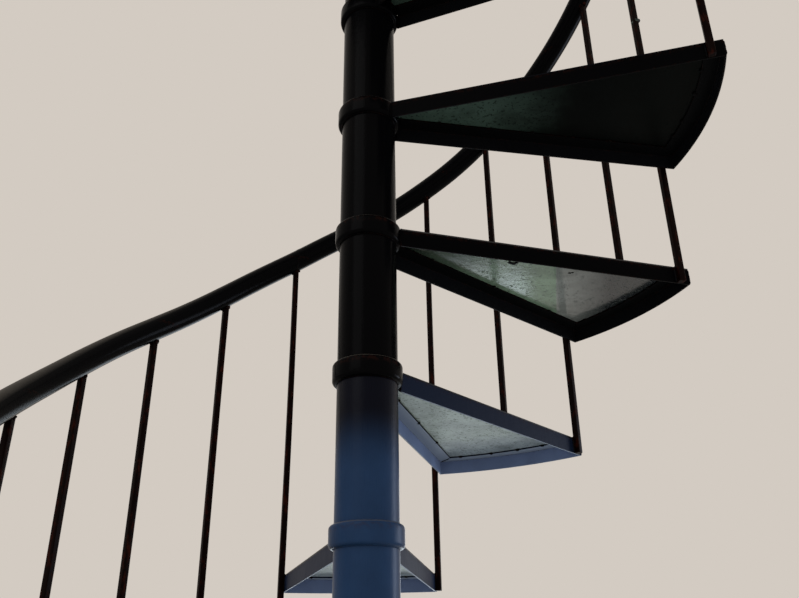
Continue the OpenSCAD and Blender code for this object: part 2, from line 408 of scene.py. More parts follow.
@dataclass(frozen=True)
class GlossEnamel(Coating):
    """Alkyd gloss enamel, brushed on steel: near black with a soft shine, turning navy low down.

    The navy is partly the paint's own fading and partly painted window glare. Brush marks
    break the shine into upright streaks, dust dulls what faces up, and the steel's rust bleeds
    through at edges and below the seam of plate and angle iron. Inside the angle iron, a
    paler slate-grey tone is painted glare, with a painted shadow line left dark just below
    the plate, and the flanges' undersides have a tone that is partly pale paint and partly
    painted reflection.
    """

    colour: str = "#040405"
    # Navy low down: partly the paint's fading, partly painted window glare.
    faded: str = "#1f3655"
    dust: str = "#5c564e"
    rust: str = "#2c130b"
    # Paler tone on the angle iron's inner faces: painted glare.
    inner_glare: str = "#060607"
    # Tone of the flanges' downward faces: partly pale paint, partly painted reflection.
    under: str = "#060607"
    fade_from: float = 1.885
    fade_to: float = 1.785
    shine: float = 0.02
    roughness: float = 0.22
    worn_roughness: float = 0.6
    seam_rust: float = 0.3
    cloud_mm: float = 90.0
    speck_mm: float = 7.0
    brush_mm: Triple = (1.6, 1.6, 40.0)
    seam_mm: float = 9.0
    # Height of the painted shadow line below the plate's edge.
    shadow_line_mm: float = 3.2
    edge_mm: float = 2.2
    stair: StairLayout = StairLayout()

    def surface(self, add: AddNode) -> Socket:
        """Builds the enamel's nodes.

        Args:
            add: Adds a node to the material.

        Returns:
            The shader's output.
        """
        place = add("TexCoord", out="Object")
        true = add("NewGeometry", out="Normal")
        height = add("SeparateXYZ", place, out="Z")
        facing = add("SeparateXYZ", true, out="Z")
        rounded = add("Bevel", self.edge_mm * MM)
        cloud = add("TexNoise", place, per_metre(self.cloud_mm), 5.0, 0.6)
        speck = add("TexNoise", place, per_metre(self.speck_mm), 3.0, 0.65)
        # Brush marks run up and down, some 40 mm long. They are drawn 1.6 mm wide, which
        # is coarser than bristle marks, so that they show.
        strokes = add("Mapping", place, Scale=[per_metre(size) for size in self.brush_mm])
        brush = add("TexNoise", strokes, 1.0, 2.0)
        # Navy low down: partly the paint's fading, partly painted window glare.
        navy_and_glare = add("MapRange SMOOTHSTEP", height, self.fade_to, self.fade_from, 1.0, 0.0)
        patchy = add("MapRange", cloud, 0.3, 0.7, 0.72, 1.0)
        faded = add("Math MULTIPLY", navy_and_glare, patchy)
        paint = add("Mix RGBA", faded, self.colour, self.faded)
        # Rust bleeds down from the seam under the plate, which repeats with the rise.
        rise, seam = self.stair.rise * MM, (self.stair.rise - self.stair.plate_t) * MM
        step = add("Math FLOORED_MODULO", height, rise)
        bleed = add("MapRange SMOOTHSTEP", step, seam - self.seam_mm * MM, seam, 0.0, self.seam_rust)
        agree = add("VectorMath DOT_PRODUCT", true, rounded)
        edge = add("MapRange", agree, 0.78, 0.985, 0.7, 0.0)
        lean = add("Math ABSOLUTE", facing)
        upright = add("Math LESS_THAN", lean, 0.5)
        stained = add("Math MULTIPLY", bleed, upright)
        bare = add("Math MAXIMUM", stained, edge)
        grain = add("MapRange", speck, 0.47, 0.62)
        rusty = add("Math MULTIPLY", bare, grain)
        # Inner faces of the angle iron get a paler tone, a painted glare.
        # The height tells which tread a point is on, and so the direction of that tread's middle.
        # A leg on one side of it whose face looks back at it is turned inwards.
        counted = add("Math DIVIDE", height, rise)
        number = add("Math CEIL", counted)
        turn = -math.radians(self.stair.turn)
        start = math.radians(self.stair.exit_angle + self.stair.last + self.stair.turn / 2)
        middle = add("Math MULTIPLY_ADD", number, turn, start)
        east = add("Math SINE", middle)
        west = add("Math MULTIPLY", east, -1.0)
        north = add("Math COSINE", middle)
        across = add("CombineXYZ", west, north)
        off = add("VectorMath DOT_PRODUCT", place, across)
        turned = add("VectorMath DOT_PRODUCT", true, across)
        product = add("Math MULTIPLY", off, turned)
        sideways = add("MapRange", product, -0.03, -0.01, 0.9, 0.0)
        # A face that looks at the pole's axis, further out than the sleeves, is an inner one too.
        plan = add("VectorMath MULTIPLY", place, (-1.0, -1.0, 0.0))
        home = add("VectorMath NORMALIZE", plan)
        inward = add("VectorMath DOT_PRODUCT", true, home)
        reach = add("VectorMath LENGTH", plan)
        outside = add("Math GREATER_THAN", reach, 0.06)
        inner = add("MapRange", inward, 0.1, 0.3, 0.0, 0.9)
        turned_in = add("Math MAXIMUM", inner, sideways)
        # Just below the plate, as high as the flange's 3 mm edge, the paint stays dark: a painted shadow
        # line.
        unshadowed = add("Math LESS_THAN", step, seam - self.shadow_line_mm * MM)
        hollow = add("Math MULTIPLY", turned_in, unshadowed)
        # Painted glare on the inner faces, in patches.
        glared_faces = add("Math MULTIPLY", hollow, outside)
        patchy_glare = add("Math MULTIPLY", glared_faces, patchy)
        glared_paint = add("Mix RGBA", patchy_glare, paint, self.inner_glare)
        # Downward faces away from the pole: partly pale paint, partly painted reflection.
        down = add("MapRange", facing, -0.9, -0.6, 0.95, 0.0)
        below = add("Math MULTIPLY", down, outside)
        lower = add("Mix RGBA", below, glared_paint, self.under)
        rusted = add("Mix RGBA", rusty, lower, self.rust)
        level = add("MapRange", facing, 0.55, 0.95, 0.0, 0.75)
        settled = add("Math MULTIPLY", level, patchy)
        colour = add("Mix RGBA", settled, rusted, self.dust)
        dull = add("Math MAXIMUM", settled, rusty)
        streaky = add("MapRange", brush, 0.3, 0.7, self.roughness - 0.04, self.roughness + 0.06)
        rough = add("Mix", dull, streaky, self.worn_roughness)
        marks = add("Bump", 0.22, 0.0004, Height=brush, Normal=rounded)
        pitted = add("Bump", 0.35, 0.0006, Height=speck, Normal=marks)
        return add("BsdfPrincipled", colour, 0.0, rough, Normal=pitted, Specular_IOR_Level=self.shine)


@dataclass(frozen=True)
class BarEnamel(Coating):
    """Thin enamel on square bar, worn through to red oxide primer: red-brown black, half matt.

    The primer shows along the corners and in patches some 25 mm long, and the bar's mill
    scale gives a fine lengthwise grain, drawn 1.5 mm wide so that it shows.
    """

    name: str = Finish.BAR.value
    colour: str = "#0c0302"
    oxide: str = "#2e0f07"
    dust: str = "#6a625a"
    roughness: float = 0.42
    bare_roughness: float = 0.7
    patch_mm: Triple = (9.0, 9.0, 25.0)
    grain_mm: Triple = (1.5, 1.5, 30.0)
    edge_mm: float = 1.6

    def surface(self, add: AddNode) -> Socket:
        """Builds the bars' nodes.

        Args:
            add: Adds a node to the material.

        Returns:
            The shader's output.
        """
        place = add("TexCoord", out="Object")
        true = add("NewGeometry", out="Normal")
        facing = add("SeparateXYZ", true, out="Z")
        rounded = add("Bevel", self.edge_mm * MM)
        drawn = add("Mapping", place, Scale=[per_metre(size) for size in self.patch_mm])
        patch = add("TexNoise", drawn, 1.0, 4.0, 0.6)
        lengthwise = add("Mapping", place, Scale=[per_metre(size) for size in self.grain_mm])
        grain = add("TexNoise", lengthwise, 1.0, 2.0)
        agree = add("VectorMath DOT_PRODUCT", true, rounded)
        edge = add("MapRange", agree, 0.8, 0.99, 0.22, 0.0)
        thin = add("Math ADD", patch, edge)
        through = add("MapRange", thin, 0.54, 0.68, 0.0, 0.9)
        worn = add("Mix RGBA", through, self.colour, self.oxide)
        level = add("MapRange", facing, 0.6, 0.95, 0.0, 0.6)
        colour = add("Mix RGBA", level, worn, self.dust)
        rough = add("Mix", through, self.roughness, self.bare_roughness)
        scale = add("Bump", 0.3, 0.0004, Height=grain, Normal=rounded)
        chips = add("Bump", 0.3, 0.0005, Height=through, Normal=scale)
        return add("BsdfPrincipled", colour, 0.0, rough, Normal=chips, Specular_IOR_Level=0.03)


@dataclass(frozen=True)
class PlateEnamel(Coating):
    """Enamel on a tread's sheet steel: a tone below, some with painted reflection, trodden dull on top.

    From below the paint is mottled and specked where moisture lifted it, and it greys
    towards the outer edge, or beyond a straight line that is a painted reflection. Where
    given, it darkens near the pole, a painted shade and reflection, and at the outer rim,
    a painted reflection.
    On top, feet have worn a dull, dusty patch through the gloss.
    """

    under: str = "#8b9a90"
    outer: str = "#6d7474"
    # Darker outer rim: painted reflection.
    rim: str | None = None
    # Darker tone near the pole: painted shade and reflection.
    root: str | None = None
    speck: str = "#2c3530"
    top: str = "#15161a"
    trodden: str = "#4a4641"
    side: str = "#0d0d10"
    outer_from: float = 0.48
    outer_to: float = 0.62
    # Direction across a straight split; the tone beyond it is a painted reflection.
    outward: Triple | None = None
    gloss: float = 0.22
    roughness: float = 0.17
    mottle_mm: float = 60.0
    speck_mm: float = 5.0

    def surface(self, add: AddNode) -> Socket:
        """Builds one plate's nodes.

        Args:
            add: Adds a node to the material.

        Returns:
            The shader's output.
        """
        place = add("TexCoord", out="Object")
        true = add("NewGeometry", out="Normal")
        facing = add("SeparateXYZ", true, out="Z")
        plan = add("VectorMath MULTIPLY", place, (1.0, 1.0, 0.0))
        reach = add("VectorMath LENGTH", plan)
        mottle = add("TexNoise", place, per_metre(self.mottle_mm), 6.0, 0.62)
        speck = add("TexNoise", place, per_metre(self.speck_mm), 3.0, 0.7)
        wavy = add("Math MULTIPLY_ADD", mottle, 0.12, reach)
        # Beyond a straight split, where one is given, the tone is a painted reflection.
        spread = add("VectorMath DOT_PRODUCT", place, self.outward) if self.outward else wavy
        beyond = add("MapRange SMOOTHSTEP", spread, self.outer_from, self.outer_to)
        # A darker rim, where one is given: painted reflection.
        last = add("MapRange", spread, self.outer_to, self.outer_to + 0.1)
        outer = add("Mix RGBA", last, self.outer, self.rim or self.outer)
        # Darker near the pole, where a tone for it is given: painted shade and reflection.
        grown = add("MapRange", reach, 0.08, 0.36)
        main = add("Mix RGBA", grown, self.root or self.under, self.under)
        below = add("Mix RGBA", beyond, main, outer)
        blotch = add("MapRange", mottle, 0.42, 0.7, 0.0, 0.5)
        pits = add("MapRange", speck, 0.56, 0.62, 0.0, 0.8)
        marked = add("Math MAXIMUM", blotch, pits)
        under = add("Mix RGBA", marked, below, self.speck)
        # Feet land further out than a third of the tread's length from the pole.
        inner = add("MapRange SMOOTHSTEP", wavy, 0.22, 0.36)
        wear = add("MapRange", mottle, 0.36, 0.6, 0.25, 0.95)
        worn = add("Math MULTIPLY", inner, wear)
        upper = add("Mix RGBA", worn, self.top, self.trodden)
        up = add("MapRange", facing, 0.3, 0.6)
        down = add("MapRange", facing, -0.6, -0.3, 1.0, 0.0)
        sides = add("Mix RGBA", down, self.side, under)
        colour = add("Mix RGBA", up, sides, upper)
        dull = add("Math MULTIPLY", up, worn)
        pitted = add("Math MAXIMUM", dull, pits)
        rough = add("Mix", pitted, self.roughness, 0.7)
        lifted = add("Bump", 0.1, 0.0005, Height=speck)
        waves = add("Bump", 0.12, 0.003, Height=mottle, Normal=lifted)
        return add("BsdfPrincipled", colour, 0.0, rough, Normal=waves, Specular_IOR_Level=self.gloss)


@dataclass(frozen=True)
class WeldMetal(Coating):
    """Weld beads painted over in passing: dark, with grey-green primer on the high spots."""

    name: str = Finish.WELD.value
    colour: str = "#0d0e10"
    primer: str = "#55625a"
    rust: str = "#3a1c12"
    roughness: float = 0.45

    def surface(self, add: AddNode) -> Socket:
        """Builds the welds' nodes.

        Args:
            add: Adds a node to the material.

        Returns:
            The shader's output.
        """
        place = add("TexCoord", out="Object")
        spots = add("TexNoise", place, per_metre(14.0), 3.0)
        spatter = add("TexNoise", place, per_metre(3.0), 2.0)
        high = add("MapRange", spots, 0.53, 0.63, 0.0, 0.85)
        low = add("MapRange", spots, 0.36, 0.46, 0.8, 0.0)
        painted = add("Mix RGBA", high, self.colour, self.primer)
        colour = add("Mix RGBA", low, painted, self.rust)
        rough = add("MapRange", spots, 0.3, 0.7, self.roughness - 0.1, self.roughness + 0.2)
        grainy = add("Bump", 0.5, 0.0006, Height=spatter)
        return add("BsdfPrincipled", colour, 0.0, rough, Normal=grainy, Specular_IOR_Level=0.2)


@dataclass(frozen=True)
class ZincSteel(Coating):
    """Zinc-plated bolts and washers: dull grey metal with a spangle and specks of rust."""

    name: str = Finish.ZINC.value
    colour: str = "#8f9192"
    stain: str = "#6f6a60"
    rust: str = "#5a2f1a"
    roughness: float = 0.42

    def surface(self, add: AddNode) -> Socket:
        """Builds the fixings' nodes.

        Args:
            add: Adds a node to the material.

        Returns:
            The shader's output.
        """
        place = add("TexCoord", out="Object")
        spangle = add("TexNoise", place, per_metre(5.0), 3.0)
        specks = add("TexNoise", place, per_metre(9.0), 4.0, 0.7)
        plated = add("Mix RGBA", spangle, self.colour, self.stain)
        rusty = add("MapRange", specks, 0.57, 0.66, 0.0, 0.9)
        colour = add("Mix RGBA", rusty, plated, self.rust)
        metal = add("MapRange", rusty, 0.0, 1.0, 1.0, 0.1)
        rough = add("MapRange", spangle, 0.3, 0.7, self.roughness - 0.08, self.roughness + 0.15)
        uneven = add("Bump", 0.25, 0.0003, Height=specks)
        return add("BsdfPrincipled", colour, metal, rough, Normal=uneven)


@dataclass(frozen=True)
class PalePlaster(Coating):
    """Pale plain floor: matt, with a faint trowelled cloudiness."""

    name: str = Finish.FLOOR.value
    colour: str = "#d8d2ca"
    shade: str = "#cfc8bf"

    def surface(self, add: AddNode) -> Socket:
        """Builds the floor's nodes.

        Args:
            add: Adds a node to the material.

        Returns:
            The shader's output.
        """
        cloud = add("TexNoise", add("TexCoord", out="Object"), per_metre(600.0), 4.0)
        colour = add("Mix RGBA", cloud, self.colour, self.shade)
        return add("BsdfPrincipled", colour, 0.0, 0.8, Specular_IOR_Level=0.2)


COATINGS = (
    GlossEnamel(Finish.BLACK.value, faded="#040405", roughness=0.18),
    # Dark navy, lighter low down: partly the paint's fading, partly painted window glare.
    GlossEnamel(Finish.NAVY.value, colour="#020410", shine=0.07, roughness=0.3),
    # Upper angle iron: slightly paler inner faces, painted glare, and undersides, painted reflection.
    GlossEnamel(
        Finish.FRAME.value, faded="#040405", inner_glare="#121316", under="#0a0b0c", shine=0.012, roughness=0.42,
    ),
    # Low angle iron: navy partly painted window glare, pale inner faces that are painted glare, and pale
    # undersides partly painted reflection.
    GlossEnamel(
        Finish.LOW_FRAME.value, colour="#0d1628", faded="#101c33", inner_glare="#7c90b8", under="#7b8aa0",
        shine=0.03, roughness=0.45,
    ),
    BarEnamel(), WeldMetal(), ZincSteel(),
)


@dataclass
class Palette:
    """The finishes, made once and shared by the pieces."""

    made: dict[str, bpy.types.Material] = field(
        default_factory=lambda: {coating.name: coating.material() for coating in COATINGS}
    )

    def __getitem__(self, finish: Finish) -> bpy.types.Material:
        """The material of one finish."""
        return self.made[finish.value]


@dataclass
class Assembly:
    """A sub-assembly of the stair, with what they all share."""

    stair: StairLayout
    finishes: Palette

    def dress(self, node: str, finish: bpy.types.Material) -> None:
        """Gives a node of the frame its finish.

        Args:
            node: The node's name.
            finish: The material for all its faces.
        """
        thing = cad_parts[node]
        for slot in thing.material_slots:
            slot.material = finish
        if not thing.material_slots:
            thing.data.materials.append(finish)
        LOG.info("%s: dressed in %s", node, finish.name)


@dataclass(frozen=True)
class Fixing:
    """A hexagon nut or bolt head on its washer, with the rod's end standing out of it."""

    rod_d: float
    across_flats: float
    head_h: float
    washer_d: float
    washer_t: float
    stands_out: float
    bevel: float = 0.5
    pitch: float = 2.0

    def add_to(self, shell: Shell, seat: Matrix) -> None:
        """Adds the fixing to a shell.

        Args:
            shell: Where its faces go.
            seat: Turns and moves it from upright at the origin to its place, in millimetres.
        """
        wide, base, top = self.washer_d / 2, self.washer_t, self.washer_t + self.head_h
        bevel, half = self.bevel, self.across_flats / 2
        washer = ((wide - bevel, 0.0), (wide, bevel), (wide, base - bevel), (wide - bevel, base))
        shell.loft([self.ring(r, z, seat, 32, r) for r, z in washer])
        head = ((half * 1.02, base), (half * 2, base + 1.2), (half * 2, top - 1.4), (half * 1.04, top))
        shell.loft([self.ring(r, z, seat, 24, half) for r, z in head])
        if self.stands_out:
            rod, turns = self.rod_d / 2, int((self.stands_out - 1.5) / self.pitch)
            thread = [(rod - 0.8, top - 1)]
            for i in range(turns):
                thread += [(rod - 0.8, top + i * self.pitch), (rod, top + (i + 0.5) * self.pitch)]
            end = top + turns * self.pitch
            thread += [(rod - 0.9, end), (rod - 2.2, end + 1.3)]
            shell.loft([self.ring(r, z, seat, 24, r) for r, z in thread])

    def ring(self, reach: float, height: float, seat: Matrix, sides: int, half: float) -> list[Vector]:
        """Points in metres of a circle of radius reach, cut by a hexagon with its flats at half."""
        turns = [(t, (t + math.pi / 6) % (math.pi / 3) - math.pi / 6) for t in round_turns(sides)]
        return [seat @ polar(min(half / math.cos(flat), reach), turn, height) * MM for turn, flat in turns]


@dataclass
class PoleAssembly(Assembly):
    """The pipe pole with its sleeves, cap, base plate, gussets, welds and anchors."""

    pipe_t: float = 5.5
    pipe_lengths: int = 90
    above: float = 900.0
    sides: int = 96
    base_t: float = 12.0
    anchor_pitch: float = 190.0
    gusset_w: float = 62.0
    gusset_h: float = 90.0
    gusset_t: float = 8.0
    sleeve_bore: float = 47.8
    sleeve_above: float = 6.0
    sleeve_round: float = 6.0
    sleeve_melt: float = 2.5
    # How far up, in treads, the pole is navy: partly the paint's fading, partly painted window glare.
    navy_treads: int = 7
    cap_r: float = 51.0
    cap_rim: float = 6.0
    cap_dome: float = 8.0
    nut: Fixing = Fixing(
        rod_d=16.0, across_flats=24.0, head_h=13.0, washer_d=30.0, washer_t=3.0, stands_out=9.5,
    )

    @property
    def top(self) -> float:
        """Height of the pipe's upper end."""
        return self.stair.landing_top + self.above

    @property
    def sleeve_ends(self) -> list[Pair]:
        """Lower and upper height of each sleeve.

        Returns:
            A pair for each tread and one for the landing, in millimetres.
        """
        tops = [number * self.stair.rise for number in range(1, self.stair.treads + 2)]
        melt = self.sleeve_melt
        return [(top - self.stair.depth + melt, top + self.sleeve_above - melt) for top in tops]

    def build(self) -> None:
        """Makes the pole's pieces and dresses its base."""
        self.build_pipe()
        self.build_sleeves()
        self.build_cap()
        self.build_welds()
        self.build_anchors()
        for node in ("base_plate", "base_gussets"):
            self.dress(node, self.finishes[Finish.NAVY])

    def build_pipe(self) -> None:
        """Turns the pipe, a little out of round as drawn pipe is.

        The paint is of two tones, which meet inside the sleeve of the eighth tread: black above,
        and below a navy that is partly the paint's fading and partly painted window glare.
        """
        low, count = self.base_t, self.pipe_lengths
        meet = self.navy_treads * self.stair.rise + self.stair.rise - self.stair.depth / 2
        heights = [low + (self.top - low) * i / count for i in range(count + 1)]
        heights[min(range(count + 1), key=lambda i: abs(heights[i] - meet))] = meet
        outer = [(self.stair.pole_r, z) for z in heights]
        inner = [(self.stair.pole_r - self.pipe_t, z) for z in (self.top, low)]
        shell = Shell()
        shell.turned(outer + inner, self.sides, unevenness=0.12)
        self.two_tone(shell, "pole_pipe", meet, "centre_pole")

    def two_tone(self, shell: Shell, name: str, height: float, *stands_for: str) -> None:
        """Makes a piece in navy enamel, and in black enamel above a height.

        Args:
            shell: The piece's points and faces.
            name: The piece's name.
            height: The height in millimetres.
            stands_for: Nodes of the frame that it replaces.
        """
        piece = shell.piece(name, self.finishes[Finish.NAVY], Slot.FRAME, *stands_for)
        piece.data.materials.append(self.finishes[Finish.BLACK])
        for face in piece.data.polygons:
            if face.center.z > height * MM:
                face.material_index = 1

    def build_sleeves(self) -> None:
        """Turns a sleeve at each hub, its ends rounded off by welding."""
        shell, edge = Shell(), self.sleeve_round
        quarter = [math.pi / 2 * i / 6 for i in range(7)]
        inset = self.stair.sleeve_r - edge
        for low, high in self.sleeve_ends:
            profile = [(self.sleeve_bore, low)]
            profile += [(inset + edge * math.sin(t), low + edge - edge * math.cos(t)) for t in quarter]
            profile += [(self.stair.sleeve_r, low + (high - low) / 2)]
            profile += [(inset + edge * math.cos(t), high - edge + edge * math.sin(t)) for t in quarter]
            profile += [(self.sleeve_bore, high)]
            shell.turned(profile, self.sides, unevenness=0.3)
        self.two_tone(shell, "pole_sleeves", (self.navy_treads + 0.5) * self.stair.rise, "hub_sleeves")

    def build_cap(self) -> None:
        """Turns the domed cap on the pole's end."""
        dome = (self.cap_r**2 + self.cap_dome**2) / (2 * self.cap_dome)
        crown = self.cap_rim + self.cap_dome - dome
        profile = [(self.cap_r - 1.2, 0.0), (self.cap_r, 1.2), (self.cap_r, self.cap_rim - 1.0)]
        spread = [self.cap_r * (1 - i / 12) for i in range(12)]
        profile += [(r - 0.6, crown + math.sqrt(dome**2 - r**2)) for r in spread]
        shell = Shell()
        shell.loft([self.circle(r, self.top + z) for r, z in profile])
        shell.piece("pole_end_cap", self.finishes[Finish.BLACK], Slot.FRAME, "pole_cap")

    def build_welds(self) -> None:
        """Lays the rings of weld round the pole, and the welds of its base."""
        shell = Shell()
        for low, high in self.sleeve_ends:
            for height in (low + 0.4, high - 0.4):
                shell.bead(self.circle(self.stair.pole_r + 0.8, height), 1.5, 5.0, closed=True)
        self.two_tone(shell, "sleeve_ring_welds", (self.navy_treads + 0.5) * self.stair.rise)
        shell, low = Shell(), self.base_t
        shell.bead(self.circle(self.stair.pole_r + 1.7, low + 1.4), 3.4, 5.0, closed=True)
        near, far = self.stair.pole_r + 1.2, self.stair.pole_r + self.gusset_w
        for side in range(4):
            turn = Matrix.Rotation(math.pi / 2 * side, 3, "Z")
            for y in (-self.gusset_t / 2 - 0.8, self.gusset_t / 2 + 0.8):
                floor = ((near, y, low + 0.8), (far, y, low + 0.8))
                upright = ((near, y, low), (near, y, low + self.gusset_h))
                for line in (floor, upright):
                    shell.bead([turn @ (Vector(point) * MM) for point in line], 2.6, 4.5)
        shell.piece("pole_base_welds", self.finishes[Finish.WELD], Slot.FRAME)

    def circle(self, radius: float, height: float) -> list[Vector]:
        """Points of a circle about the pole's axis, in metres."""
        return [polar(radius, turn, height) * MM for turn in round_turns(self.sides)]

    def build_anchors(self) -> None:
        """Sets a nut and washer on each anchor rod of the base plate."""
        shell, half = Shell(), self.anchor_pitch / 2
        for i, (x, y) in enumerate(CORNERS):
            turn = Matrix.Rotation(0.4 + 0.9 * i, 4, "Z")
            self.nut.add_to(shell, Matrix.Translation((x * half, y * half, self.base_t)) @ turn)
        shell.piece("base_anchors", self.finishes[Finish.ZINC])


@dataclass
class TreadFlight(Assembly):
    """The treads: angle iron frames and plates of the frame, dressed and welded.

    A weld at the hub has its distance out and across, how far it ends below the tread's top,
    and its radius. A clot of dirt has its place on the floor plan and its size.
    """

    # Pale underside tones of the low plates: grey-green paint with painted reflection of the bright window.
    low_tones_and_reflection: tuple[str, ...] = (
        "#7b8c84", "#76867e", "#7f9087", "#788880", "#7b8c84", "#74847c", "#7d8e86", "#80918a",
    )
    hub_edge: tuple[float, ...] = (42.7, 35.0, 2.0, 2.4)
    hub_flange: tuple[float, ...] = (45.7, 31.2, 6.5, 2.0)
    corner: Pair = (588.2, 160.1)
    mitre: tuple[Pair, ...] = ((566.0, 126.5), (585.0, 156.0))
    tack_r: float = 580.5
    tack_below: float = 4.4
    tack: Triple = (4.2, 4.2, 2.2)
    side_tack: Triple = (3.8, 3.8, 2.0)
    clots: tuple[Triple, ...] = (
        (256, 104, 4), (262, 108, 6), (269, 106, 4), (266, 112, 3), (376, 147, 3.5), (381, 145, 2.5),
    )
    seed: int = 11

    @property
    def places(self) -> list[Pair]:
        """Degrees climbed at each tread's middle, and the height of its top."""
        stair = self.stair
        return [((n - 0.5) * stair.turn, n * stair.rise) for n in range(1, stair.treads + 1)]

    def build(self) -> None:
        """Dresses each tread and adds its welds."""
        for number in range(1, self.stair.treads + 1):
            low = number <= len(self.low_tones_and_reflection)
            self.dress(f"tread_frame_{number:02d}", self.finishes[Finish.LOW_FRAME if low else Finish.FRAME])
            self.dress(f"tread_plate_{number:02d}", self.plate_finish(number).material())
        self.build_hub_welds()
        self.build_corner_welds()
        self.build_tacks()

    def plate_finish(self, number: int) -> PlateEnamel:
        """Chooses the tone of a plate's underside: grey-green paint with painted reflection in it.

        Args:
            number: The tread's number from the floor.

        Returns:
            The plate's finish: pale low down, partly painted reflection of the bright window, and
            darker from the tenth tread up, partly painted reflection of dark surroundings.
        """
        name = f"plate_enamel_{number:02d}"
        if number <= len(self.low_tones_and_reflection):
            shade = self.low_tones_and_reflection[number - 1]
            return PlateEnamel(name, under=shade, outer="#8494a0", gloss=0.12, roughness=0.4)
        # The ninth plate: a straight split to grey, and darkening near the pole and at the rim: painted
        # reflection and shade.
        if number == len(self.low_tones_and_reflection) + 1:
            return PlateEnamel(
                name, under="#7d9984", outer="#8a9290", rim="#24282d", root="#0a100c", speck="#1a241d",
                outer_from=0.311, outer_to=0.315, outward=(0.979, -0.2038, 0.0), gloss=0.4, roughness=0.12,
            )
        # From the tenth plate up: dark tones, partly painted reflection of dark surroundings.
        return PlateEnamel(
            name, under="#41554d", outer="#0a0c0b", speck="#0c0f0e", outer_from=0.18, outer_to=0.44,
            gloss=0.012, roughness=0.3,
        )

    def build_hub_welds(self) -> None:
        """Lays the welds that join each tread to its sleeve."""
        stair, shell = self.stair, Shell()
        out = stair.sleeve_r + 1.4
        arc = [math.radians(-37 + 74 * i / 24) for i in range(25)]
        for middle, top in self.places:
            low = top - stair.depth + 1.5
            for hand in (-1, 1):
                for x, y, below, radius in (self.hub_edge, self.hub_flange):
                    shell.bead(stair.upright(middle, x, hand * y, low, top - below), radius, 4.5)
            ring = [(out * math.cos(t), out * math.sin(t), top + 0.9) for t in arc]
            shell.bead(stair.path(middle, *ring), 2.2, 4.5)
        shell.piece("tread_hub_welds", self.finishes[Finish.FRAME], Slot.FRAME)

    def build_corner_welds(self) -> None:
        """Lays the mitre welds at the outer corners of each tread's angle iron."""
        stair, shell, (x, y) = self.stair, Shell(), self.corner
        for middle, top in self.places:
            for hand in (-1, 1):
                shell.bead(stair.upright(middle, x, hand * y, top - stair.depth + 1.0, top - 3.0), 2.0)
                mitre = ((out, hand * side, top - 5.6) for out, side in self.mitre)
                shell.bead(stair.path(middle, *mitre), 1.4)
        shell.piece("tread_corner_welds", self.finishes[Finish.FRAME], Slot.FRAME)

    def build_tacks(self) -> None:
        """Sets the tacks that hold each plate to the flanges, and two clots of dirt on one plate."""
        stair, shell, luck = self.stair, Shell(), random.Random(self.seed)
        for middle, top in self.places:
            height = top - self.tack_below
            for turn in (-8.5, -2.5, 4.0, 9.5):
                t = math.radians(turn + luck.uniform(-1.2, 1.2))
                place = stair.spot(middle, self.tack_r * math.cos(t), self.tack_r * math.sin(t), height)
                shell.lump(place, self.tack, 0.5)
            for out in (150.0, 300.0, 450.0):
                for hand in (-1, 1):
                    x = out + luck.uniform(-25, 25)
                    place = stair.spot(middle, x, hand * (stair.side_slope * x - 5.0), height)
                    shell.lump(place, self.side_tack, 0.5)
        # The dirt hangs below the ninth tread's plate.
        under = 9 * stair.rise - stair.plate_t
        for x, y, size in self.clots:
            shell.lump(Vector((x, y, under)) * MM, Vector((size, size * 0.8, 0.9)), 0.6)
        shell.piece("plate_tacks", self.finishes[Finish.FRAME], Slot.FRAME)


@dataclass
class Landing(Assembly):
    """The landing's frame, plate and fixing plate, with their welds and bolts."""

    fixing_pitch_x: float = 380.0
    fixing_rows: Pair = (117.5, 57.5)
    corner_out: float = 609.6
    bolt: Fixing = Fixing(
        rod_d=12.0, across_flats=19.0, head_h=7.5, washer_d=24.0, washer_t=2.5, stands_out=0.0,
    )

    def build(self) -> None:
        """Dresses the landing's nodes and adds welds and bolts."""
        self.dress("landing_frame", self.finishes[Finish.FRAME])
        self.dress("landing_fixing", self.finishes[Finish.FRAME])
        plate = PlateEnamel(
            "plate_enamel_landing", under="#1c2421", outer="#141617", speck="#101312", gloss=0.1,
        )
        self.dress("landing_plate", plate.material())
        self.build_welds()
        self.build_bolts()

    def build_welds(self) -> None:
        """Lays the welds at the hub and the outer corners."""
        stair, shell, top = self.stair, Shell(), self.stair.landing_top
        for climbed, hand in ((stair.flight_turn, -1), (stair.last, 1)):
            low, back = top - stair.depth + 1, hand * stair.side_gap
            near, hub = back - hand * 0.8, stair.hub_r + 0.3
            shell.bead(stair.upright(climbed, self.corner_out, back, low, top - 3), 2.0)
            shell.bead(stair.upright(climbed, hub, near, low, top - 2), 2.4, 4.5)
        arc = [stair.flight_turn + 1 + (stair.landing_turn - 2) * i / 60 for i in range(61)]
        shell.bead([stair.spot(c, stair.sleeve_r + 1.4, 0, top + 0.9) for c in arc], 2.2, 4.5)
        shell.piece("landing_welds", self.finishes[Finish.WELD], Slot.FRAME)

    def build_bolts(self) -> None:
        """Sets the bolts that hold the fixing plate to the floor's edge."""
        stair, shell = self.stair, Shell()
        middle = (stair.hub_r + stair.stair_r) / 2
        upright = stair.spot(stair.last, 0, 1, 0).normalized().to_track_quat("Z", "Y").to_matrix().to_4x4()
        for i, (x, below) in enumerate((x, below) for x in (-1, 1) for below in self.fixing_rows):
            out, height = middle + x * self.fixing_pitch_x / 2, stair.landing_top - below
            at = stair.spot(stair.last, out, stair.side_gap - stair.seat, height) / MM
            turn = Matrix.Rotation(0.3 + 0.8 * i, 4, "Z")
            self.bolt.add_to(shell, Matrix.Translation(at) @ upright @ turn)
        shell.piece("landing_bolts", self.finishes[Finish.ZINC])


@dataclass
class Bar:
    """One upright bar: where it stands, how thick it is, and whether it joins two treads.

    Back is the distance of its centre down the stair from its line, and sunk is how far
    it goes into what it stands on.
    """

    climbed: float
    foot: float
    joint: bool = False
    width: float = StairLayout.bar_w
    back: float = 0.0
    sunk: float = 0.0


